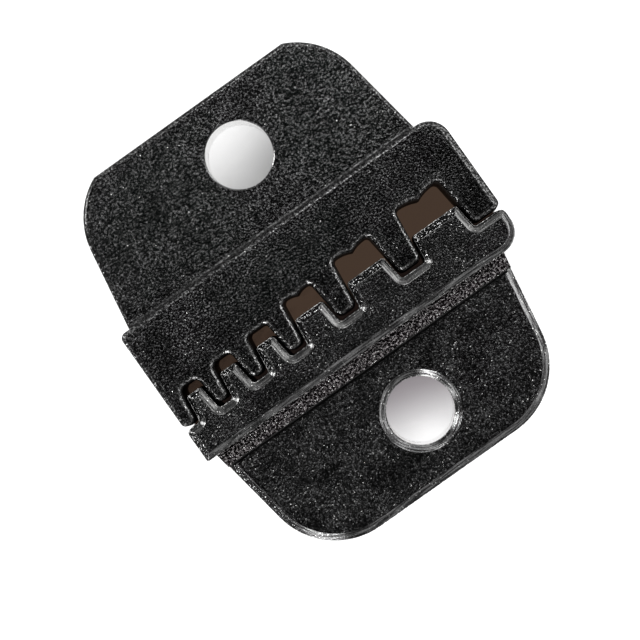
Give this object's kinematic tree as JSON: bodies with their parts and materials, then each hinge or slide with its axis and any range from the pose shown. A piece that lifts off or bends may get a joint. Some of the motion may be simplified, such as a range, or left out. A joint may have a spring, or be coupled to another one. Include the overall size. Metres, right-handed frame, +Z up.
{
  "type": "crimp die insert",
  "caption": "Closed pair of crimping jaw dies: a nested crimper half and an anvil half, each with a slotted-in tab and a screw bore.",
  "frame": {"origin": "middle of the closed pair's outline, on the surface that the pair lies on", "axes": "+X along the bands from the smallest nest to the largest, +Y from the anvil half towards the crimper half, +Z up through the thickness"},
  "size_m": [0.028, 0.0328, 0.006],
  "materials": {
    "crimper_steel": "black oxide on a cast face",
    "anvil_steel": "black oxide on a ground face"
  },
  "bodies": {
    "crimper_half": {"crimper_die": "crimper_steel"},
    "anvil_half": {"anvil_die": "anvil_steel"}
  },
  "joints": [
    {"name": "jaw_opening", "type": "slide", "parent": "crimper_half", "child": "anvil_half", "axis": [0, -1, 0], "range_m": [0, 0.01]}
  ]
}
